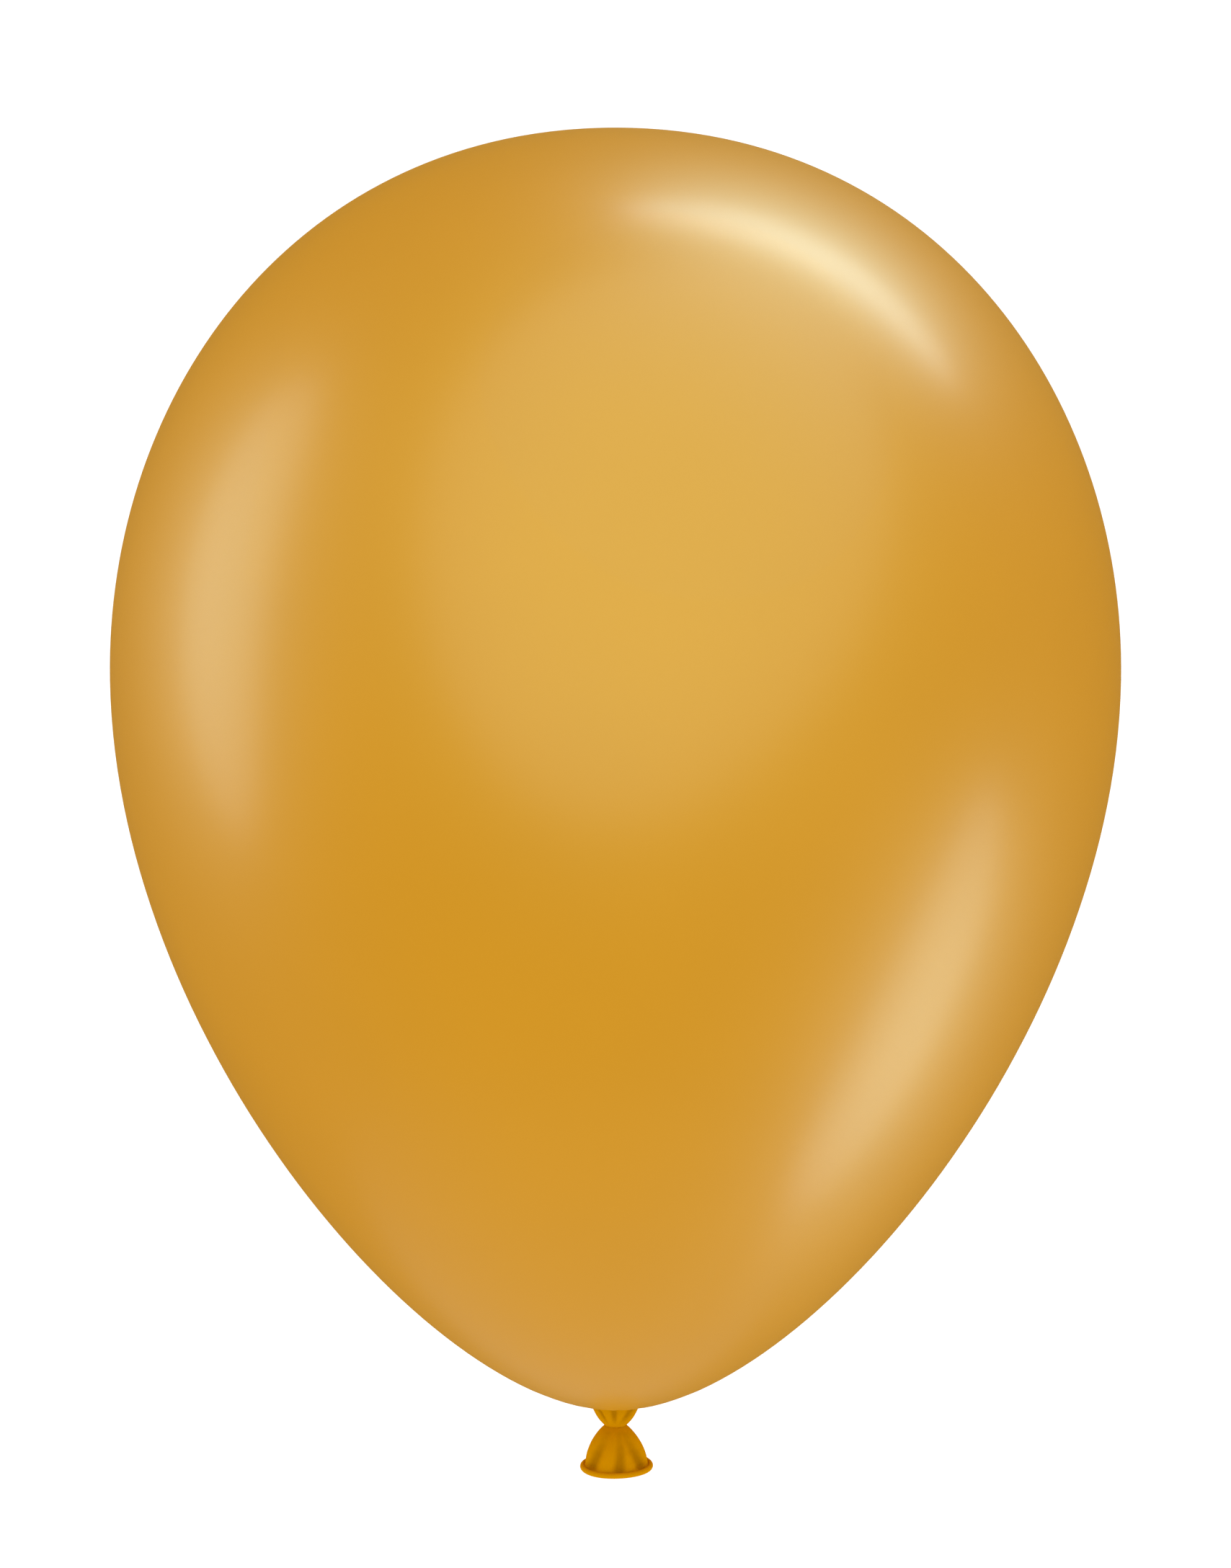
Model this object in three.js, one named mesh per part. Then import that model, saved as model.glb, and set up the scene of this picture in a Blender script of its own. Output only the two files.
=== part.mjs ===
// A latex party balloon, blown up and tied. The real one is a single dipped film, and the
// pieces here are what inflating, tying and rolling make of it. Millimetres, +Z up, with the
// origin at the centre of the knot and +Z running up through the crown.

import * as THREE from 'three';

// Envelope: the blown body.
const inflatedDiameter = 280;   // across its widest line
const crownRise = 150.3;        // widest line up to the crown
const undersideDrop = 210.4;    // widest line down to where the underside would close
const knotDrop = 6;             // that closing point down to the knot's centre
const mouthDiameter = 16;       // where the underside passes into the gathered neck
const filmThickness = 0.3;      // unstretched film; the blown film is drawn at this too

// How full the body's outline is: the reach of each curve handle as a share of its own span.
const crownFullness = 0.616;
const shoulderFullness = 0.53;
const flankFullness = 0.491;
const undersideFullness = 0.354;

// Knot: one turn of the neck pulled tight round the wad of film that passes through it.
const knotDiameter = 5.7;
const turnThickness = 1.1;      // the rolled-up neck that makes the turn
const clearance = 0.3;          // between any two pieces that meet

// Tail: the open end of the neck, below the knot.
const tailLength = 12.1;        // knot's centre down to the middle of the rim
const rimDiameter = 20.9;       // outside the rolled rim
const beadThickness = 1.54;     // the rolled film that makes the rim
const flareReach = 5.5;         // how far the skirt runs straight out from the knot
const hemReach = 3.2;           // how far it hangs straight above the rim

// Pleats of the neck film on both sides of the knot.
const pleatCount = 6;
const gatherPleatDepth = 0.14;  // share of the radius that a valley is pulled in by
const skirtPleatDepth = 0.12;

// The neck leans and the tail flops by this much each, so above and below the knot the film
// keeps this angle, and a little more, from the knot's own plane.
const bendLimit = THREE.MathUtils.degToRad(30);
const bendMargin = THREE.MathUtils.degToRad(2);

// Facets.
const envelopeSegments = 48;
const curveSteps = 10;          // along each half of the body's outline
const pleatedSegments = 8 * pleatCount;
const pleatedSteps = 7;
const ringSegments = 48;
const tubeSegments = 10;
const knotSegments = 32;

// Places worked out from those sizes.
const widestHeight = knotDrop + undersideDrop;
const widestRadius = inflatedDiameter / 2;
const mouthRadius = mouthDiameter / 2;
const knotRadius = knotDiameter / 2;
const turnRadius = turnThickness / 2;
const turnCentreRadius = knotRadius - turnRadius;
const beadRadius = beadThickness / 2;
const rimCentreRadius = rimDiameter / 2 - beadRadius;
const bendAngle = bendLimit + bendMargin;

function point(radius, height) {
  return new THREE.Vector2(radius, height);
}

// A direction in the plane of an outline, by its angle above the horizontal.
function direction(angle) {
  return point(Math.cos(angle), Math.sin(angle));
}

function crownCurve() {
  const crown = widestHeight + crownRise;
  return new THREE.CubicBezierCurve(
    point(0, crown),
    point(crownFullness * widestRadius, crown),
    point(widestRadius, widestHeight + shoulderFullness * crownRise),
    point(widestRadius, widestHeight),
  );
}

function undersideCurve() {
  return new THREE.CubicBezierCurve(
    point(widestRadius, widestHeight),
    point(widestRadius, widestHeight - flankFullness * undersideDrop),
    point(undersideFullness * widestRadius, knotDrop),
    point(0, knotDrop),
  );
}

// The curve parameter at which the underside, which only narrows, has come in to a radius.
function undersideStop(radius) {
  const curve = undersideCurve();
  let above = 0;
  let below = 1;
  for (let step = 0; step < 40; step += 1) {
    const middle = (above + below) / 2;
    if (curve.getPoint(middle).x > radius) {
      above = middle;
    } else {
      below = middle;
    }
  }
  return below;
}

// Points and outward normals along a curve that runs downwards with the outside on its right.
function walk(curve, stop, steps) {
  const found = [];
  for (let step = 0; step <= steps; step += 1) {
    const t = (stop * step) / steps;
    const along = curve.getTangent(t);
    found.push({ at: curve.getPoint(t), normal: point(-along.y, along.x) });
  }
  return found;
}

// The outline of a film: down its outer face, then back up its inner face, to where it began
// or, from a crown, to the axis again.
function filmOutline(places) {
  const outer = places.map(({ at }) => at.clone());
  const inner = places.map(({ at, normal }) => {
    const shifted = at.clone().addScaledVector(normal, -filmThickness);
    return at.x === 0 ? point(0, shifted.y) : shifted;
  });
  const ends = outer[0].x === 0 ? [] : [outer[0].clone()];
  return [...outer, ...inner.reverse(), ...ends];
}

// Turns an outline about the vertical axis. Outlines here run down the outside, and a lathe
// faces outwards when they run up it.
function turned(outline, segments) {
  return new THREE.LatheGeometry(outline.reverse(), segments).rotateX(Math.PI / 2);
}

// A ring of round section about the vertical axis.
function ring(centreRadius, sectionRadius, segments) {
  return new THREE.TorusGeometry(centreRadius, sectionRadius, tubeSegments, segments);
}

// Pulls valleys in between the pleats. They fade out at both ends, which stay round.
function pleat(geometry, lowest, highest, depth) {
  const vertices = geometry.attributes.position;
  for (let index = 0; index < vertices.count; index += 1) {
    const x = vertices.getX(index);
    const y = vertices.getY(index);
    const share = (vertices.getZ(index) - lowest) / (highest - lowest);
    const fade = Math.sin(Math.PI * THREE.MathUtils.clamp(share, 0, 1));
    const valley = (1 - Math.cos(pleatCount * Math.atan2(y, x))) / 2;
    const scale = 1 - depth * fade * valley;
    vertices.setXY(index, x * scale, y * scale);
  }
  geometry.computeVertexNormals();
  return geometry;
}

// The blown body: a shell, open only at its mouth.
function envelopeGeometry() {
  const crown = walk(crownCurve(), 1, curveSteps);
  const underside = walk(undersideCurve(), undersideStop(mouthRadius), curveSteps);
  return turned(filmOutline([...crown, ...underside.slice(1)]), envelopeSegments);
}

// The neck film that runs in from the mouth to the knot: a pleated funnel.
function gatherGeometry() {
  const mouthHeight = undersideCurve().getPoint(undersideStop(mouthRadius)).y;
  const top = point(mouthRadius - filmThickness, mouthHeight - clearance);
  const foot = direction(bendAngle).multiplyScalar(knotRadius + clearance);
  const span = top.distanceTo(foot) / 3;
  const curve = new THREE.CubicBezierCurve(
    top,
    top.clone().addScaledVector(direction(Math.PI / 4), -span),
    foot.clone().addScaledVector(direction(bendAngle), span),
    foot,
  );
  const funnel = turned(filmOutline(walk(curve, 1, pleatedSteps)), pleatedSegments);
  return pleat(funnel, foot.y, top.y, gatherPleatDepth);
}

// The turn of neck that closes the balloon.
function wrapGeometry() {
  return ring(turnCentreRadius, turnRadius, knotSegments);
}

// The wad of film inside the turn: a ball with a groove round it for the turn to lie in.
function coreGeometry() {
  const grooveRadius = turnRadius + clearance;
  const lip = (knotRadius ** 2 + turnCentreRadius ** 2 - grooveRadius ** 2)
    / (2 * knotRadius * turnCentreRadius);
  const lipAngle = Math.acos(lip);
  const lipPoint = direction(lipAngle).multiplyScalar(knotRadius);
  const grooveAngle = Math.atan2(lipPoint.y, lipPoint.x - turnCentreRadius);
  const upper = arc(0, knotRadius, Math.PI / 2, lipAngle, 5);
  const groove = arc(turnCentreRadius, grooveRadius, grooveAngle, 2 * Math.PI - grooveAngle, 8);
  const lower = arc(0, knotRadius, -lipAngle, -Math.PI / 2, 5);
  return turned([...upper, ...groove.slice(1), ...lower.slice(1)], knotSegments);
}

// Points on a circle centred at a radius on the knot's plane. Ends on the axis lie exactly on it.
function arc(centre, radius, from, to, steps) {
  const points = [];
  for (let step = 0; step <= steps; step += 1) {
    const place = direction(from + ((to - from) * step) / steps).multiplyScalar(radius);
    const x = Math.abs(place.x) < 1e-9 ? 0 : place.x;
    points.push(point(centre + x, place.y));
  }
  return points;
}

// The open end of the neck: a pleated skirt that flares from the knot to the rim.
function skirtGeometry() {
  const top = direction(-bendAngle).multiplyScalar(knotRadius + clearance);
  const toBead = direction(THREE.MathUtils.degToRad(130)).multiplyScalar(beadRadius + clearance);
  const hem = point(rimCentreRadius, -tailLength).add(toBead);
  const curve = new THREE.CubicBezierCurve(
    top,
    top.clone().addScaledVector(direction(-bendAngle), flareReach),
    hem.clone().add(point(0, hemReach)),
    hem,
  );
  const skirt = turned(filmOutline(walk(curve, 1, pleatedSteps)), pleatedSegments);
  return pleat(skirt, hem.y, top.y, skirtPleatDepth);
}

// The rolled rim, at the tail's mouth.
function rimGeometry() {
  return ring(rimCentreRadius, beadRadius, ringSegments).translate(0, 0, -tailLength);
}

function latex(color, roughness) {
  return new THREE.MeshStandardMaterial({ color, roughness, metalness: 0 });
}

function piece(name, geometry, material) {
  const mesh = new THREE.Mesh(geometry, material);
  mesh.name = name;
  return mesh;
}

const blownFilm = latex('#cf8c0c', 0.32);
const neckFilm = latex('#c48204', 0.4);
const rolledFilm = latex('#cc8804', 0.36);

// Above the knot, the knot, and below it.
const body = new THREE.Group();
body.add(
  piece('envelope', envelopeGeometry(), blownFilm),
  piece('neck_gather', gatherGeometry(), neckFilm),
);

const knot = new THREE.Group();
knot.add(
  piece('knot_wrap', wrapGeometry(), neckFilm),
  piece('knot_core', coreGeometry(), neckFilm),
);

const tail = new THREE.Group();
tail.add(
  piece('tail_skirt', skirtGeometry(), neckFilm),
  piece('rolled_rim', rimGeometry(), rolledFilm),
);

const balloon = new THREE.Group();
balloon.add(body, knot, tail);

export default balloon;
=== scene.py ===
# %% [markdown]
# # A blown-up latex balloon
# A party balloon is one dipped film of rubber. Blowing it up makes the body, pulling the neck
# through its own turn makes the knot, and the open end of the neck is left below the knot as a
# little pleated skirt with a rolled rim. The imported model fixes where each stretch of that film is:
# the knot's centre is the origin, the crown is straight above it, and the bodies called balloon,
# knot_wrap, knot_core and tail turn about that centre. This script gives that frame its looks.

# %% Load the frame
import math

import bmesh
import bpy
from mathutils import Matrix, Vector


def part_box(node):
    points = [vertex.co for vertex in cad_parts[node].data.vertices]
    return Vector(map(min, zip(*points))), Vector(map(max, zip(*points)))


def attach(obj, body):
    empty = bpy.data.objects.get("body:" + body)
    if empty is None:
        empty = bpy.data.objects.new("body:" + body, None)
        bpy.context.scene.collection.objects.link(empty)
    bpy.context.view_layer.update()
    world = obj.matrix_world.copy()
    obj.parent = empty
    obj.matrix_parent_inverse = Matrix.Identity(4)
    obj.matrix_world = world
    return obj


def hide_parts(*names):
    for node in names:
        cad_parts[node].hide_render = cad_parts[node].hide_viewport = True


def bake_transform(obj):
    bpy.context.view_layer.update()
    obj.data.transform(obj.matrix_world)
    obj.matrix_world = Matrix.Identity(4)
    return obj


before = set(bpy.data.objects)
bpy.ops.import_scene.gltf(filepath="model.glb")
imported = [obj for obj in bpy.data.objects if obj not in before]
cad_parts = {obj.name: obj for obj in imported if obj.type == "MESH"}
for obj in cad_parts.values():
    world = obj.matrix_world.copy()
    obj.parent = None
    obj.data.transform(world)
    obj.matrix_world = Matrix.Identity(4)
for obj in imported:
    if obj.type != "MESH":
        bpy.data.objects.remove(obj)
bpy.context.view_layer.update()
MM = 0.001

# %% [markdown]
# ## Camera
# A balloon is shot from a little above its middle with a long lens, so that the body keeps its egg
# shape and the neck is seen slightly from above. The camera could be parented to a target or
# tracked with a constraint. Here it is turned once towards a point on the axis, because a fixed
# turn is the easiest thing to move to another angle later.

# %% Camera
CAMERA_DISTANCE = 1.0  # metres in front of the balloon's axis
CAMERA_HEIGHT = 0.311  # metres above the knot
AIM_HEIGHT = 0.1854
LENS_MM = 82.44


def make_camera():
    data = bpy.data.cameras.new("product_camera")
    data.lens = LENS_MM
    camera = bpy.data.objects.new("product_camera", data)
    bpy.context.collection.objects.link(camera)
    camera.location = (0, -CAMERA_DISTANCE, CAMERA_HEIGHT)
    gaze = Vector((0, 0, AIM_HEIGHT)) - camera.location
    camera.rotation_euler = gaze.to_track_quat("-Z", "Y").to_euler()
    bpy.context.scene.camera = camera
    return math.degrees(math.asin(-gaze.normalized().z))


print("the camera looks down by", round(make_camera(), 2), "degrees")

# %% [markdown]
# ## Colours and nodes
# Colours are written as sRGB hex values, as in any paint shop, while shaders work in linear light,
# so one function turns the first into the second. Another adds a shader node, sets what it is told
# to, and links what it is given, which keeps each material short enough to read.


# %% Colours and nodes
def linear(hex_colour):
    """An sRGB colour such as "#cb8a00" as linear red, green, blue and alpha."""
    channels = [int(hex_colour[i : i + 2], 16) / 255 for i in (1, 3, 5)]
    curve = [c / 12.92 if c <= 0.04045 else ((c + 0.055) / 1.055) ** 2.4 for c in channels]
    return (*curve, 1.0)


def add(tree, kind, settings=None, inputs=None):
    """Adds a node. A tuple (node, socket) in inputs is linked, and any other value is set."""
    node = tree.nodes.new(kind)
    for name, value in (settings or {}).items():
        setattr(node, name, value)
    for socket, value in (inputs or {}).items():
        if isinstance(value, tuple) and isinstance(value[0], bpy.types.Node):
            tree.links.new(value[0].outputs[value[1]], node.inputs[socket])
        else:
            node.inputs[socket].default_value = value
    return node


print("golden film, linear:", [round(c, 3) for c in linear("#cb8a00")[:3]])

# %% [markdown]
# ## Surround and floor
# The balloon hangs in front of white, so the world is white all round and the floor lies well below
# it. A white surround would also be mirrored as a pale veil along the balloon's edges, where every
# glossy thing reflects most. A studio keeps that veil away with black cloth. Here the world is
# dark to glossy rays only, so the highlights come from the soft boxes.

# %% Surround and floor
SURROUND_LEVEL = 1.12
FLOOR_DROP = 1.6
FLOOR_SIZE = 40.0
FLOOR_GLOW = 0.12  # lifts the paper to the white of the surround, so that no horizon shows
PAPER_COLOUR = "#f7f7f5"
PAPER_ROUGHNESS = 0.9


def make_surround():
    world = bpy.data.worlds.new("white_surround")
    bpy.context.scene.world = world
    world.use_nodes = True
    world.cycles_visibility.glossy = False
    white = world.node_tree.nodes["Background"]
    white.inputs["Color"].default_value = linear("#ffffff")
    white.inputs["Strength"].default_value = SURROUND_LEVEL


def make_floor():
    bpy.ops.mesh.primitive_plane_add(size=FLOOR_SIZE, location=(0, 0, -FLOOR_DROP))
    floor = bpy.context.object
    floor.name = "studio_floor"
    floor.visible_glossy = False
    paper = bpy.data.materials.new("matt_white_paper")
    paper.use_nodes = True
    shader = paper.node_tree.nodes["Principled BSDF"]
    shader.inputs["Base Color"].default_value = linear(PAPER_COLOUR)
    shader.inputs["Roughness"].default_value = PAPER_ROUGHNESS
    shader.inputs["Specular IOR Level"].default_value = 0.0
    shader.inputs["Emission Color"].default_value = linear("#ffffff")
    shader.inputs["Emission Strength"].default_value = FLOOR_GLOW
    floor.data.materials.append(paper)


make_surround()
make_floor()
bpy.context.scene.view_settings.view_transform = "Standard"
print("the floor is", FLOOR_DROP, "m below the knot")

# %% [markdown]
# ## Soft boxes
# Each highlight is the picture of one soft box in the film: a wide one high in front makes the pale
# glow of the upper front, a bright strip behind the right shoulder makes the crescent, and two
# upright ones make the streaks near the left and the lower right edge. A faint fifth box below
# keeps the underside from going flat. A place on a curved surface mirrors one direction only, so
# each box is placed by the direction in which it is seen from the balloon's middle. The boxes light
# only reflections, because the surround already lights the colour evenly. Their lamps are cooler
# than the surround, so that the highlights come out cream on the warm film and not peach.

# %% Soft boxes
BALLOON_MIDDLE = Vector((0, 0, 0.19))
LAMP_COLOUR = (0.66, 0.92, 1.0)
# bearing (0 is the front, 90 is +X) and height in degrees, distance, width and length in metres,
# roll in degrees, radiance
SOFT_BOXES = {
    "overhead_glow": (10, 34, 1.5, 3.1, 4.6, -32, 5.9),
    "shoulder_strip": (121, 59, 1.1, 0.172, 1.05, 152, 38.9),
    "left_box": (-92, 11, 1.0, 0.456, 1.13, 5, 9.0),
    "low_right_box": (87, -37, 0.9, 0.322, 0.79, 2, 12.3),
    "under_fill": (-100, -85, 0.78, 1.04, 1.2, 30, 0.85),
}


def box_axes(out):
    """A turn that points a box's back along `out`, so that it shines back at the balloon."""
    across = Vector((0, 0, 1)).cross(out).normalized()
    return Matrix((across, out.cross(across), out)).transposed()


def soft_box(name, bearing, height, distance, width, length, roll, radiance):
    """Hangs an oval light by its direction from the balloon's middle, and gives its power."""
    a = math.radians(bearing)
    e = math.radians(height)
    out = Vector((math.sin(a) * math.cos(e), -math.cos(a) * math.cos(e), math.sin(e)))
    data = bpy.data.lights.new(name, "AREA")
    data.shape = "ELLIPSE"
    data.size = width
    data.size_y = length
    area = math.pi * width * length / 4
    data.energy = radiance * math.pi * area
    data.color = LAMP_COLOUR
    box = bpy.data.objects.new(name, data)
    bpy.context.collection.objects.link(box)
    box.location = BALLOON_MIDDLE + distance * out
    turn = box_axes(out) @ Matrix.Rotation(math.radians(roll), 3, "Z")
    box.rotation_euler = turn.to_euler()
    box.visible_camera = False
    box.visible_diffuse = False
    return data.energy


for box_name, values in SOFT_BOXES.items():
    print(box_name, round(soft_box(box_name, *values), 1), "W")

# %% [markdown]
# ## Latex film
# Natural rubber latex is dipped on a glass form, dried, leached and cured, and dusted with starch
# so that it doesn't stick to itself. Blown up, it is a satin skin: smooth, with a wide soft gloss,
# a thin bloom of powder that catches light at the edges, and clouds where the dip ran thicker. In
# the neck it isn't stretched, so the pigment lies closer. The colour could be one flat value, but
# then the film would look like paint, so thickness drives it: clouds a few centimetres wide on the
# body, and an attribute that each piece carries. On the body it is thickness, at the crown spot
# and round the mouth. On the neck pieces it is painted shade, darkest in the valleys, creases and
# grooves and under the body's edge: 0 on a ridge and 1 at the bottom of a valley.

# %% Latex film
FILM_COLOUR = "#cb8a00"
# the colour of thicker film, also used as the painted shade of the neck's valleys, creases and grooves
DENSE_AND_SHADED_COLOUR = "#ab7200"
GLOSS_TINT = (0.45, 1.0, 0.45, 1.0)  # mostly green, which moves the orange film towards lemon
LATEX_IOR = 1.52
CLOUD_RANGE = (0.3, 0.7)  # the noise values between which a cloud goes from none to full
COAT_SHARE = 0.7  # a second, tighter gloss, as a share of the first
COAT_ROUGHNESS = 0.26
BLOOM = 0.42  # starch and pigment that catch light at the edges
BLOOM_ROUGHNESS = 0.4


def latex(name, gloss, roughness, cloud_mm, cloud_depth, grain_mm, grain_rise_mm):
    """A satin film coloured by its thickness and painted shade. Clouds and grain are sized in
    millimetres.
    """
    material = bpy.data.materials.new(name)
    material.use_nodes = True
    tree = material.node_tree
    shader = tree.nodes["Principled BSDF"]
    place = add(tree, "ShaderNodeTexCoord")
    # reads each piece's stored darkening: thickness on the body, painted shade on the neck pieces
    read_thickness_and_shade = add(tree, "ShaderNodeAttribute", {"attribute_name": "fold"})
    clouds = add(
        tree, "ShaderNodeTexNoise", None,
        {"Vector": (place, "Object"), "Scale": 1 / (cloud_mm * MM), "Detail": 2.0, "Roughness": 0.45},
    )
    low, high = CLOUD_RANGE
    thick = add(
        tree, "ShaderNodeMapRange", None,
        {"Value": (clouds, "Fac"), "From Min": low, "From Max": high, "To Max": cloud_depth},
    )
    # how far the colour goes to the darker one: clouds of thickness plus the stored thickness and
    # painted shade
    darkening_share = add(
        tree, "ShaderNodeMath", {"operation": "ADD", "use_clamp": True},
        {0: (read_thickness_and_shade, "Fac"), 1: (thick, "Result")},
    )
    # Inputs 6 and 7 and output 2 are the Mix node's colours, among its sockets for other types.
    colour = add(
        tree, "ShaderNodeMix", {"data_type": "RGBA"},
        {"Factor": (darkening_share, 0), 6: linear(FILM_COLOUR), 7: linear(DENSE_AND_SHADED_COLOUR)},
    )
    tree.links.new(colour.outputs[2], shader.inputs["Base Color"])
    grain = add(
        tree, "ShaderNodeTexNoise", None,
        {"Vector": (place, "Object"), "Scale": 1 / (grain_mm * MM), "Detail": 3.0},
    )
    bump = add(
        tree, "ShaderNodeBump", None,
        {"Height": (grain, "Fac"), "Distance": grain_rise_mm * MM, "Strength": 1.0},
    )
    tree.links.new(bump.outputs["Normal"], shader.inputs["Normal"])
    shader.inputs["Roughness"].default_value = roughness
    shader.inputs["IOR"].default_value = LATEX_IOR
    shader.inputs["Specular IOR Level"].default_value = gloss
    shader.inputs["Specular Tint"].default_value = GLOSS_TINT
    shader.inputs["Coat Weight"].default_value = COAT_SHARE * gloss
    shader.inputs["Coat Roughness"].default_value = COAT_ROUGHNESS
    shader.inputs["Sheen Weight"].default_value = BLOOM
    shader.inputs["Sheen Roughness"].default_value = BLOOM_ROUGHNESS
    shader.inputs["Sheen Tint"].default_value = linear(FILM_COLOUR)
    return material


# Each line below gives gloss, roughness, cloud width and depth, then grain width and rise.
# Blown film: stretched thin and smooth, so its gloss is wide and even and its grain hardly shows.
blown_latex = latex("blown_latex_film", 0.2, 0.48, 45.0, 0.06, 1.2, 0.004)
# Neck film: unstretched and matt, with its starch still on it, so it has a bloom and no gloss.
neck_latex = latex("unstretched_latex_film", 0.0, 0.6, 3.0, 0.10, 0.5, 0.006)
# Rolled rim: many turns of neck film pressed into one bead.
rim_latex = latex("rolled_latex_bead", 0.0, 0.6, 4.0, 0.08, 0.6, 0.006)
print("materials:", [m.name for m in (blown_latex, neck_latex, rim_latex)])

# %% [markdown]
# ## Modelling helpers
# Operators act on whatever is selected, so each piece starts with nothing selected, and parts of
# it are then picked by where they are. `bearing` gives a point's direction about the axis, seen
# from the front, which is how the pleats are placed.


# %% Picking by place
def start_clean():
    """Leaves edit mode and deselects everything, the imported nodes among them."""
    if bpy.context.object and bpy.context.object.mode != "OBJECT":
        bpy.ops.object.mode_set(mode="OBJECT")
    bpy.ops.object.select_all(action="DESELECT")


def pick(piece, test):
    """Selects the points of a piece in edit mode whose place passes a test, and counts them."""
    mesh = bmesh.from_edit_mesh(piece.data)
    for vertex in mesh.verts:
        vertex.select = bool(test(vertex.co))
    mesh.select_flush_mode()
    bmesh.update_edit_mesh(piece.data)
    return sum(vertex.select for vertex in mesh.verts)


def radius(place):
    return math.hypot(place.x, place.y)


def bearing(place):
    """Degrees about the axis: 0 is the front, 90 the right and -90 the left."""
    return math.degrees(math.atan2(place.x, -place.y))


def turn_between(a, b):
    """How far apart two bearings are, in degrees."""
    return abs((a - b + 180) % 360 - 180)


print("350 and 10 degrees are", turn_between(350, 10), "degrees apart")

# %% [markdown]
# Every piece is finished the same way. Its doubled points are merged first, because faces can only
# agree on an outside when they share points. Then it is rounded, given its wall, and its place is
# applied, so that patterns on Object coordinates stay where they belong.

# %% Finishing a mesh
SAME_POINT = 0.001 * MM  # points closer than this are merged
SMOOTH_BELOW = 50  # degrees between faces, past which an edge stays crisp


def finish_mesh(piece, subdivisions, wall=0.0):
    """Rounds a shape by subdivision, gives it a wall behind its faces, and shades it smooth.

    The body's faces look outwards, so its wall lies inside. An open funnel has no outside to find,
    and its faces come out looking at the axis, so its wall grows outwards by the wall's thickness.
    """
    start_clean()
    bpy.context.view_layer.objects.active = piece
    piece.select_set(True)
    bpy.ops.object.mode_set(mode="EDIT")
    bpy.ops.mesh.select_all(action="SELECT")
    bpy.ops.mesh.remove_doubles(threshold=SAME_POINT)
    bpy.ops.mesh.normals_make_consistent(inside=False)
    bpy.ops.object.mode_set(mode="OBJECT")
    if subdivisions:
        rounding = piece.modifiers.new("rounding", "SUBSURF")
        rounding.levels = subdivisions
        rounding.render_levels = subdivisions
        bpy.ops.object.modifier_apply(modifier=rounding.name)
    if wall:
        thickness = piece.modifiers.new("wall", "SOLIDIFY")
        thickness.thickness = wall
        thickness.offset = -1
        bpy.ops.object.modifier_apply(modifier=thickness.name)
    bpy.ops.object.transform_apply(location=True, rotation=True, scale=True)
    bpy.ops.object.shade_smooth_by_angle(angle=math.radians(SMOOTH_BELOW))


def report(piece):
    size = [round(d / MM, 2) for d in piece.dimensions]
    triangles = sum(len(face.vertices) - 2 for face in piece.data.polygons)
    print(piece.name, "is", size, "mm and has", triangles, "triangles")


print("edges of up to", SMOOTH_BELOW, "degrees are shaded smooth")

# %% [markdown]
# Outlines are drawn with Bezier curves, and whatever fades, such as a valley or a shade, fades with
# a smooth step, which starts and ends gently. The painted shade of the folds, with the body's
# thickness, is stored point by point.


# %% Curves and fades
def smooth_step(value, low, high):
    share = min(max((value - low) / (high - low), 0), 1)
    return share * share * (3 - 2 * share)


def mark_thickness_and_shade(piece, amount):
    """Stores a darkening from 0 to 1 for each point: thickness on the body, painted shade elsewhere."""
    attribute = piece.data.attributes.new("fold", "FLOAT", "POINT")
    values = [min(max(amount(vertex.co), 0), 1) for vertex in piece.data.vertices]
    attribute.data.foreach_set("value", values)


def draw_curve(steps, *handles):
    """Evenly stepped points of one Bezier curve, from its first handle to its last."""
    drawn = []
    for step in range(steps + 1):
        points = [Vector(handle) for handle in handles]
        while len(points) > 1:
            points = [a.lerp(b, step / steps) for a, b in zip(points, points[1:])]
        drawn.append(tuple(points[0]))
    return drawn


print("a quarter of the way, a fade has reached", smooth_step(0.25, 0, 1))

# %% [markdown]
# ## The blown body
# The body is the stretched part of the film. It could be a sphere pulled long, but then its poles
# would be wrong: the crown is a shallow dome and the underside a long cone with a round end. So its
# outline is drawn as one Bezier curve of three points, at the crown, on the widest line and where
# the underside would close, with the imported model's own fullness. It is spun about the axis, and
# cut where the neck begins.

# %% Body outline and spin
CROWN_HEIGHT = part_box("envelope")[1].z
WIDEST_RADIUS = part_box("envelope")[1].x
MOUTH_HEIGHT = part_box("envelope")[0].z
CROWN_RISE = 150.3 * MM
UNDERSIDE_DROP = 210.4 * MM
WIDEST_HEIGHT = CROWN_HEIGHT - CROWN_RISE
CLOSING_HEIGHT = WIDEST_HEIGHT - UNDERSIDE_DROP
CROWN_FULLNESS = 0.616
SHOULDER_FULLNESS = 0.53
FLANK_FULLNESS = 0.491
UNDERSIDE_FULLNESS = 0.354
FILM = 0.3 * MM
OUTLINE_STEPS = 64
SPIN_STEPS = 192


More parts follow.
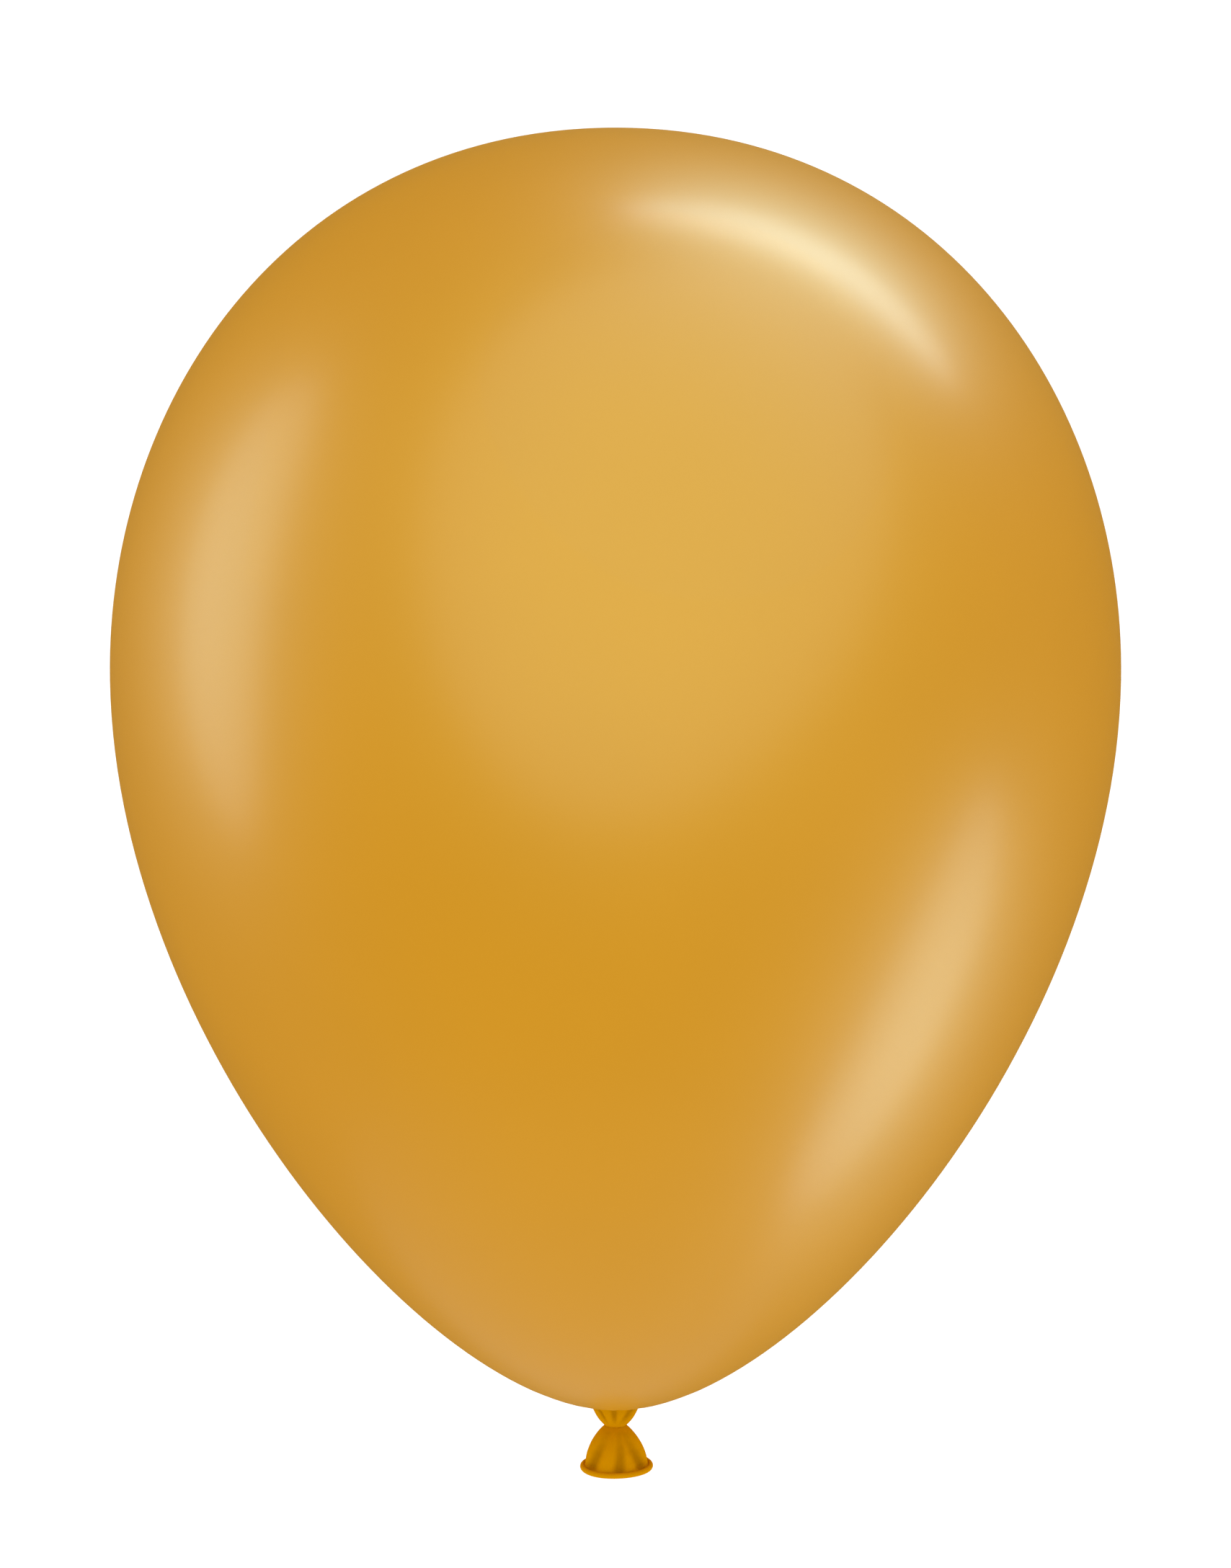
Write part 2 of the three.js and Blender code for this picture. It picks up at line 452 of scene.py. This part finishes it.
def draw_outline():
    """Draws the outline. A fullness is the reach of a handle, as a share of its own span."""
    bpy.ops.curve.primitive_bezier_curve_add()
    outline = bpy.context.object
    outline.data.resolution_u = OUTLINE_STEPS
    spline = outline.data.splines[0]
    spline.resolution_u = OUTLINE_STEPS
    spline.bezier_points.add(1)
    shoulder = WIDEST_HEIGHT + SHOULDER_FULLNESS * CROWN_RISE
    flank = WIDEST_HEIGHT - FLANK_FULLNESS * UNDERSIDE_DROP
    crown = ((0, CROWN_HEIGHT), (0, CROWN_HEIGHT), (CROWN_FULLNESS * WIDEST_RADIUS, CROWN_HEIGHT))
    widest = ((WIDEST_RADIUS, shoulder), (WIDEST_RADIUS, WIDEST_HEIGHT), (WIDEST_RADIUS, flank))
    lead_in = (UNDERSIDE_FULLNESS * WIDEST_RADIUS, CLOSING_HEIGHT)
    closing = (lead_in, (0, CLOSING_HEIGHT), (0, CLOSING_HEIGHT))
    for point, (before, here, after) in zip(spline.bezier_points, (crown, widest, closing)):
        point.handle_left_type = "FREE"
        point.handle_right_type = "FREE"
        point.handle_left = (before[0], 0, before[1])
        point.co = (here[0], 0, here[1])
        point.handle_right = (after[0], 0, after[1])


def spin_body():
    start_clean()
    draw_outline()
    bpy.ops.object.convert(target="MESH")
    body = bpy.context.object
    body.name = "blown_envelope"
    bpy.ops.object.mode_set(mode="EDIT")
    bpy.ops.mesh.select_all(action="SELECT")
    bpy.ops.mesh.spin(steps=SPIN_STEPS, angle=2 * math.pi, center=(0, 0, 0), axis=(0, 0, 1))
    bpy.ops.mesh.select_all(action="SELECT")
    bpy.ops.mesh.remove_doubles(threshold=SAME_POINT)
    bpy.ops.mesh.select_all(action="SELECT")
    bpy.ops.mesh.bisect(plane_co=(0, 0, MOUTH_HEIGHT), plane_no=(0, 0, 1), clear_inner=True)
    return body


envelope = spin_body()
print("spun", len(bmesh.from_edit_mesh(envelope.data).faces), "faces")

# %% [markdown]
# Where the body runs into the neck, the film is no longer blown tight, and small puckers run out
# from the mouth and fade after about two centimetres. They could be painted as bump, but the mesh
# should have them too. Each is lifted with two nested picks, and then the whole ring is smoothed.

# %% Puckers round the mouth
PUCKER_BEARINGS = (4, 27, 52, 71, 97, 118, 143, 168, -171, -147, -122, -101, -76, -55, -31, -12)
PUCKER_STEPS = ((21.0, 3.4, 0.06), (15.0, 2.2, 0.08))  # reach in mm, half width in degrees, rise in mm
PUCKER_START = 8.6 * MM  # just outside the mouth, whose own edge stays round
SMOOTHED_FROM = 8.3 * MM
SMOOTHED_TO = 26 * MM


def on_underside(place, inner, outer):
    return inner < radius(place) < outer and place.z < WIDEST_HEIGHT / 2


def lift_puckers(body):
    for centre in PUCKER_BEARINGS:
        for reach, half_width, rise in PUCKER_STEPS:
            pick(
                body,
                lambda p: on_underside(p, PUCKER_START, reach * MM)
                and turn_between(bearing(p), centre) < half_width,
            )
            bpy.ops.transform.translate(value=(0, 0, rise * MM))
    count = pick(body, lambda p: on_underside(p, SMOOTHED_FROM, SMOOTHED_TO))
    bpy.ops.mesh.vertices_smooth(factor=0.5, repeat=4)
    return count


print("smoothed", lift_puckers(envelope), "points round the mouth")

# %% [markdown]
# The form leaves the latex with its crown end last, and the last drop dries there as a small
# thick spot. Blown up, it stays a slightly denser disc on the crown. Round the mouth the film is
# hardly stretched, so its colour deepens there as well.

# %% Body finish
CROWN_SPOT = (2.45 * MM, 7.0 * MM)  # radius of its even middle, and of its faded edge
MOUTH_SHADE = (8 * MM, 20 * MM)
CROWN_DENSITY = 0.45
MOUTH_DENSITY = 0.35


def body_density(place):
    if place.z > WIDEST_HEIGHT:
        return CROWN_DENSITY * (1 - smooth_step(radius(place), *CROWN_SPOT))
    return MOUTH_DENSITY * (1 - smooth_step(radius(place), *MOUTH_SHADE))


finish_mesh(envelope, 0, FILM)
mark_thickness_and_shade(envelope, body_density)
envelope.data.materials.append(blown_latex)
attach(envelope, "balloon")
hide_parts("envelope")
report(envelope)

# %% [markdown]
# ## Pleated film above and below the knot
# The neck is a plain tube of film until the knot strangles it. Its slack then falls into six soft
# pleats on both sides of the knot. Cloth simulation could gather it, but such a small tube gives a
# tangle that is hard to steer. So a circle is extruded ring by ring along the outline, and each
# valley is pressed in by picks that get narrower, ring by ring, as a thumb would do it. A valley's
# bearing is given at the waist and at the far end, which below the knot is the height of the rim.

# %% Pleated funnel
RIM_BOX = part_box("rolled_rim")
RIM_HEIGHT = (RIM_BOX[0].z + RIM_BOX[1].z) / 2
BEAD_RADIUS = (RIM_BOX[1].z - RIM_BOX[0].z) / 2
RIM_CENTRE_RADIUS = RIM_BOX[1].x - BEAD_RADIUS
COLUMNS = 60
VALLEY_PICKS = (1.0, 0.72, 0.45, 0.2)  # shares of the valley's half width
# across this share of its half width a valley gets its full painted shade
VALLEY_FLOOR = 0.1  # the share of it that has the full colour of a fold
SAME_RING = 0.02 * MM
FUNNEL_WALL = 0.25 * MM


def extrude_along(name, outline):
    """Extrudes a circle from ring to ring along an outline of (radius, height)."""
    start_clean()
    first_radius, first_height = outline[0]
    bpy.ops.mesh.primitive_circle_add(
        vertices=COLUMNS, radius=first_radius, location=(0, 0, first_height)
    )
    piece = bpy.context.object
    piece.name = name
    bpy.ops.object.transform_apply(location=True)
    bpy.ops.object.mode_set(mode="EDIT")
    bpy.ops.mesh.select_all(action="SELECT")
    for (r0, z0), (r1, z1) in zip(outline, outline[1:]):
        bpy.ops.mesh.extrude_region_move(TRANSFORM_OT_translate={"value": (0, 0, z1 - z0)})
        bpy.ops.transform.resize(value=(r1 / r0, r1 / r0, 1), center_override=(0, 0, z1))
    return piece


def valley_bearing(valley, height):
    """Valleys slant: their bearing goes from its value at the waist to its value at the far end."""
    at_waist, at_end, _, _ = valley
    reach = -RIM_HEIGHT if height < 0 else MOUTH_HEIGHT
    return at_waist + (at_end - at_waist) * min(abs(height) / reach, 1)


def press_valleys(piece, outline, shares, valleys):
    """Presses each valley in, ring by ring, by that ring's share of the valley's depth."""
    for (_, height), share in zip(outline, shares):
        for valley in valleys:
            if share == 0:
                continue
            centre = valley_bearing(valley, height)
            _, _, depth, half_width = valley
            for narrower in VALLEY_PICKS:
                pick(
                    piece,
                    lambda p: abs(p.z - height) < SAME_RING
                    and turn_between(bearing(p), centre) < narrower * half_width,
                )
                scale = 1 - share * depth / len(VALLEY_PICKS)
                bpy.ops.transform.resize(value=(scale, scale, 1), center_override=(0, 0, height))


def in_valley(place, valleys):
    """How far into a valley a place is, from 0 on the ridges to 1 along the middle."""
    deepest = 0
    for valley in valleys:
        off_centre = turn_between(bearing(place), valley_bearing(valley, place.z))
        half_width = valley[3]
        deepest = max(deepest, 1 - smooth_step(off_centre, VALLEY_FLOOR * half_width, half_width))
    return deepest


print("columns are", 360 / COLUMNS, "degrees apart")

# %% [markdown]
# ## Neck gather
# Above the knot the film fans out from the waist into the body's mouth. From the front it shows a
# narrow valley on the left, one in the middle and a broad one on the right, all fading at the
# waist, which is pulled plain.

# %% Neck gather
WAIST_RADIUS = 2.88 * MM
WAIST_HALF_GAP = 0.2 * MM  # from the knot's plane to the first ring of the gather and of the skirt
MOUTH_RADIUS = 8.0 * MM
GATHER_RINGS = 11
FLARE_ANGLE = math.radians(41)
FLARE_REACH = 4.9 * MM
GATHER_FULLNESS = 0.7  # below 1, the valleys keep their depth closer to both ends
# bearing at the waist, bearing at the mouth, depth and half width of each valley
GATHER_VALLEYS = (
    (-3, -4, 0.15, 12), (24, 47, 0.2, 22), (100, 108, 0.17, 18), (170, 171, 0.18, 20),
    (-126, -120, 0.17, 20), (-28, -47, 0.14, 10),
)


def gather_outline():
    waist = Vector((WAIST_RADIUS, WAIST_HALF_GAP))
    flare = waist + FLARE_REACH * Vector((math.cos(FLARE_ANGLE), math.sin(FLARE_ANGLE)))
    shoulder = Vector((5.9 * MM, 6.3 * MM))
    mouth = Vector((MOUTH_RADIUS, MOUTH_HEIGHT + 0.1 * MM))
    return draw_curve(GATHER_RINGS, waist, flare, shoulder, mouth)


def gather_share(ring):
    """No valley on the two rings at the waist, the most halfway, and none again at the mouth."""
    along = min(ring / (GATHER_RINGS - 1), 1)
    return math.sin(math.pi * along) ** GATHER_FULLNESS if ring > 1 else 0


def gather_painted_shade(place):
    """Painted shade: valleys darken on the way up from the waist, and a painted shadow darkens all the
    film under the body's edge.
    """
    valley = 0.9 * in_valley(place, GATHER_VALLEYS) * smooth_step(place.z, 0.6 * MM, 4.2 * MM)
    return valley + 0.25 * smooth_step(place.z, 4.0 * MM, 6.0 * MM)


def make_gather():
    outline = gather_outline()
    piece = extrude_along("neck_gather_film", outline)
    shares = [gather_share(ring) for ring in range(len(outline))]
    press_valleys(piece, outline, shares, GATHER_VALLEYS)
    finish_mesh(piece, 2, FUNNEL_WALL)
    mark_thickness_and_shade(piece, gather_painted_shade)
    return piece


gather = make_gather()
gather.data.materials.append(neck_latex)
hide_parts("neck_gather")
report(gather)

# %% [markdown]
# ## Knot
# The knot is the neck pulled through its own turn. Outside it shows as one thin rolled turn at the
# waist, and inside the tail as a round wad with creases that run to a dimple. The turn starts as a
# torus. Film that is twisted as it is pulled tight has slanting creases, so slanted rows of points
# are drawn in all the way round. The gather and the skirt close over it, but for a fine line.

# %% Knot turn
TURN_CENTRE = 2.3 * MM
TURN_HALF_THICKNESS = 0.55 * MM
TURN_COLUMNS = 72
TURN_SIDES = 12
CREASES = 9
CREASE_SLANT = 0.35  # degrees about the axis for each degree round the turn's section
CREASE_SHARE = 0.25  # of the way from one crease to the next that is drawn in
CREASE_DEPTH = 0.08 * MM
# how dark the painted shade in the creases is
CREASE_PAINTED_SHADE = 0.5


def in_crease(place):
    """Whether a point of the turn lies in one of its slanting creases."""
    out = radius(place) - TURN_CENTRE
    around = math.degrees(math.atan2(place.z, out))
    return ((bearing(place) + CREASE_SLANT * around) * CREASES / 360) % 1 < CREASE_SHARE


def make_turn():
    start_clean()
    bpy.ops.mesh.primitive_torus_add(
        major_segments=TURN_COLUMNS, minor_segments=TURN_SIDES,
        major_radius=TURN_CENTRE, minor_radius=TURN_HALF_THICKNESS,
    )
    turn = bpy.context.object
    turn.name = "knot_turn_film"
    bpy.ops.object.mode_set(mode="EDIT")
    pick(turn, in_crease)
    bpy.ops.transform.shrink_fatten(value=-CREASE_DEPTH)
    finish_mesh(turn, 1)
    # the creases are darkened with painted shade
    mark_thickness_and_shade(turn, lambda p: CREASE_PAINTED_SHADE * in_crease(p))
    return turn


knot_turn = make_turn()
knot_turn.data.materials.append(neck_latex)
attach(knot_turn, "knot_wrap")
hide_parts("knot_wrap")
report(knot_turn)

# %% [markdown]
# The wad inside starts as a ball. Its waist is drawn in so that the turn can slide round it. Its
# top and its underside are creased, and the underside, which is what shows up inside the tail, is
# pushed in to a dimple.

# %% Knot wad
WAD_RADIUS = 2.8 * MM
WAD_COLUMNS = 48
WAD_RINGS = 24
WAD_CREASES = 8
WAD_CREASE_HALF_SHARE = 0.13  # of the way from one crease to the next
WAD_WAIST = ((1.05, 0.86), (0.75, 0.80), (0.4, 0.88))  # half height in mm, scale
WAD_CAP = 1.2 * MM  # how far from the knot's plane the creases start
WAD_POLE = 0.2 * MM  # creases stop this far from the axis
WAD_DRAW = (0.9, 0.9, 0.93)
WAD_DIMPLE = ((1.0, 0.35), (0.5, 0.45))  # reach and rise in mm
# painted shade: the wad's creases, ridges and middle are darkened by these amounts
WAD_CREASE_PAINTED_SHADE = 0.6
WAD_RIDGE_PAINTED_SHADE = 0.2
WAD_MIDDLE_PAINTED_SHADE = 0.4  # added on the axis, and gone at WAD_MIDDLE
WAD_MIDDLE = 1.2 * MM


def in_wad_crease(place):
    return abs((bearing(place) * WAD_CREASES / 360) % 1 - 0.5) < WAD_CREASE_HALF_SHARE


def wad_painted_shade(place):
    """Painted shade: creases are darker than ridges, and both darken towards the axis."""
    shade = WAD_CREASE_PAINTED_SHADE if in_wad_crease(place) else WAD_RIDGE_PAINTED_SHADE
    return shade + WAD_MIDDLE_PAINTED_SHADE * (1 - smooth_step(radius(place), 0, WAD_MIDDLE))


def make_wad():
    start_clean()
    bpy.ops.mesh.primitive_uv_sphere_add(
        segments=WAD_COLUMNS, ring_count=WAD_RINGS, radius=WAD_RADIUS
    )
    wad = bpy.context.object
    wad.name = "knot_wad_film"
    bpy.ops.object.mode_set(mode="EDIT")
    for half_height, scale in WAD_WAIST:
        pick(wad, lambda p: abs(p.z) < half_height * MM)
        bpy.ops.transform.resize(value=(scale, scale, 1), center_override=(0, 0, 0))
    pick(wad, lambda p: abs(p.z) > WAD_CAP and in_wad_crease(p) and radius(p) > WAD_POLE)
    bpy.ops.transform.resize(value=WAD_DRAW, center_override=(0, 0, 0))
    for reach, rise in WAD_DIMPLE:
        pick(wad, lambda p: p.z < 0 and radius(p) < reach * MM)
        bpy.ops.transform.translate(value=(0, 0, rise * MM))
    finish_mesh(wad, 1)
    mark_thickness_and_shade(wad, wad_painted_shade)
    return wad


wad = make_wad()
wad.data.materials.append(neck_latex)
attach(wad, "knot_core")
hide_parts("knot_core")
report(wad)

# %% [markdown]
# ## Tail skirt
# Below the knot the neck opens again into a short skirt with six pleats. Its valleys spread with
# it, reach their full depth halfway down, and run out at the hem, where the film turns out into the
# roll of the rim. The tail hangs a touch to the right.

# %% Tail skirt
TAIL_LEAN = 0.3 * MM
SKIRT_RINGS = 13
HEM = ((8.86 * MM, -11.65 * MM), (9.1 * MM, -11.95 * MM), (9.4 * MM, -12.1 * MM))
HEM_SHARES = (0.6, 0.15, 0.0)
# bearing at the waist, bearing at the rim, depth and half width of each valley
SKIRT_VALLEYS = (
    (14, 5, 0.13, 17), (30, 60, 0.17, 23), (112, 118, 0.14, 22), (172, 180, 0.15, 20),
    (-116, -121, 0.15, 23), (-28, -59, 0.16, 23),
)


def skirt_outline():
    waist = (WAIST_RADIUS, -WAIST_HALF_GAP)
    hip = (7.05 * MM, -3.6 * MM)
    side = (8.5 * MM, -7.8 * MM)
    hem = (8.75 * MM, -11.3 * MM)
    return [*draw_curve(SKIRT_RINGS, waist, hip, side, hem), *HEM]


def skirt_painted_shade(place):
    """Painted shade: valleys darken a little just below the waist, and then all the way down to the
    hem.
    """
    start = 0.35 * smooth_step(-place.z, 0.4 * MM, 1.5 * MM)
    return in_valley(place, SKIRT_VALLEYS) * (start + 0.75 * smooth_step(-place.z, 1.5 * MM, 10.5 * MM))


def lean(piece):
    """Slides each ring to the right by its share of the tail's lean."""
    for vertex in piece.data.vertices:
        vertex.co.x += TAIL_LEAN * smooth_step(-vertex.co.z, 0, -RIM_HEIGHT)


def make_skirt():
    outline = skirt_outline()
    piece = extrude_along("tail_skirt_film", outline)
    shares = [smooth_step(ring, 0.5, 7) for ring in range(SKIRT_RINGS + 1)] + list(HEM_SHARES)
    press_valleys(piece, outline, shares, SKIRT_VALLEYS)
    finish_mesh(piece, 2, FUNNEL_WALL)
    mark_thickness_and_shade(piece, skirt_painted_shade)
    lean(piece)
    return piece


skirt = make_skirt()
skirt.data.materials.append(neck_latex)
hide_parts("tail_skirt")
report(skirt)

# %% [markdown]
# ## Rolled rim
# The mouth of a dipped balloon is rolled on itself into a bead before it cures, so that it can be
# pulled over a nozzle. It starts as a torus. The last turn of the roll ends on the inner side of
# the bead, and shows there as a groove, and the bead is never quite flat.

# %% Rolled rim
RIM_COLUMNS = 96
RIM_SIDES = 20
SEAM_ANGLE = 128.0  # of the groove round the bead's section: 0 is outwards, 90 is up
SEAM_HALF_WIDTH = 10.0
SEAM_DEPTH = 0.14 * MM
# the seam's groove is darkened with painted shade by this amount
SEAM_PAINTED_SHADE = 0.7
BEAD_SWELL = 0.07 * MM  # how much fatter the bead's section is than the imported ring's
RIM_TILT = 0.16 * MM  # up at the right and down at the left
RIM_RIPPLE = 0.05 * MM


def in_seam(place):
    around = math.degrees(math.atan2(place.z - RIM_HEIGHT, radius(place) - RIM_CENTRE_RADIUS))
    return turn_between(around, SEAM_ANGLE) < SEAM_HALF_WIDTH


def wave(piece):
    """Lifts and drops the bead a little on its way round, and sets it over to the right."""
    for vertex in piece.data.vertices:
        b = math.radians(bearing(vertex.co))
        vertex.co.z += RIM_TILT * math.sin(b) + RIM_RIPPLE * math.sin(3 * b + 0.8)
        vertex.co.x += TAIL_LEAN


def make_rim():
    start_clean()
    bpy.ops.mesh.primitive_torus_add(
        major_segments=RIM_COLUMNS, minor_segments=RIM_SIDES, location=(0, 0, RIM_HEIGHT),
        major_radius=RIM_CENTRE_RADIUS, minor_radius=BEAD_RADIUS + BEAD_SWELL,
    )
    rim = bpy.context.object
    rim.name = "rolled_rim_film"
    bpy.ops.object.transform_apply(location=True)
    bpy.ops.object.mode_set(mode="EDIT")
    pick(rim, in_seam)
    bpy.ops.transform.shrink_fatten(value=-SEAM_DEPTH)
    finish_mesh(rim, 1)
    mark_thickness_and_shade(rim, lambda p: SEAM_PAINTED_SHADE * in_seam(p))
    wave(rim)
    return rim


rim = make_rim()
rim.data.materials.append(rim_latex)
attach(rim, "tail")
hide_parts("rolled_rim")
report(rim)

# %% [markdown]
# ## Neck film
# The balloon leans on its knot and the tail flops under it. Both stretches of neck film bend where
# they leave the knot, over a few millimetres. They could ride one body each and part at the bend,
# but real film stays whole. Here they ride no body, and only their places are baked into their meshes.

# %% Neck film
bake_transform(gather)
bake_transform(skirt)
print("bending pieces:", gather.name, skirt.name)
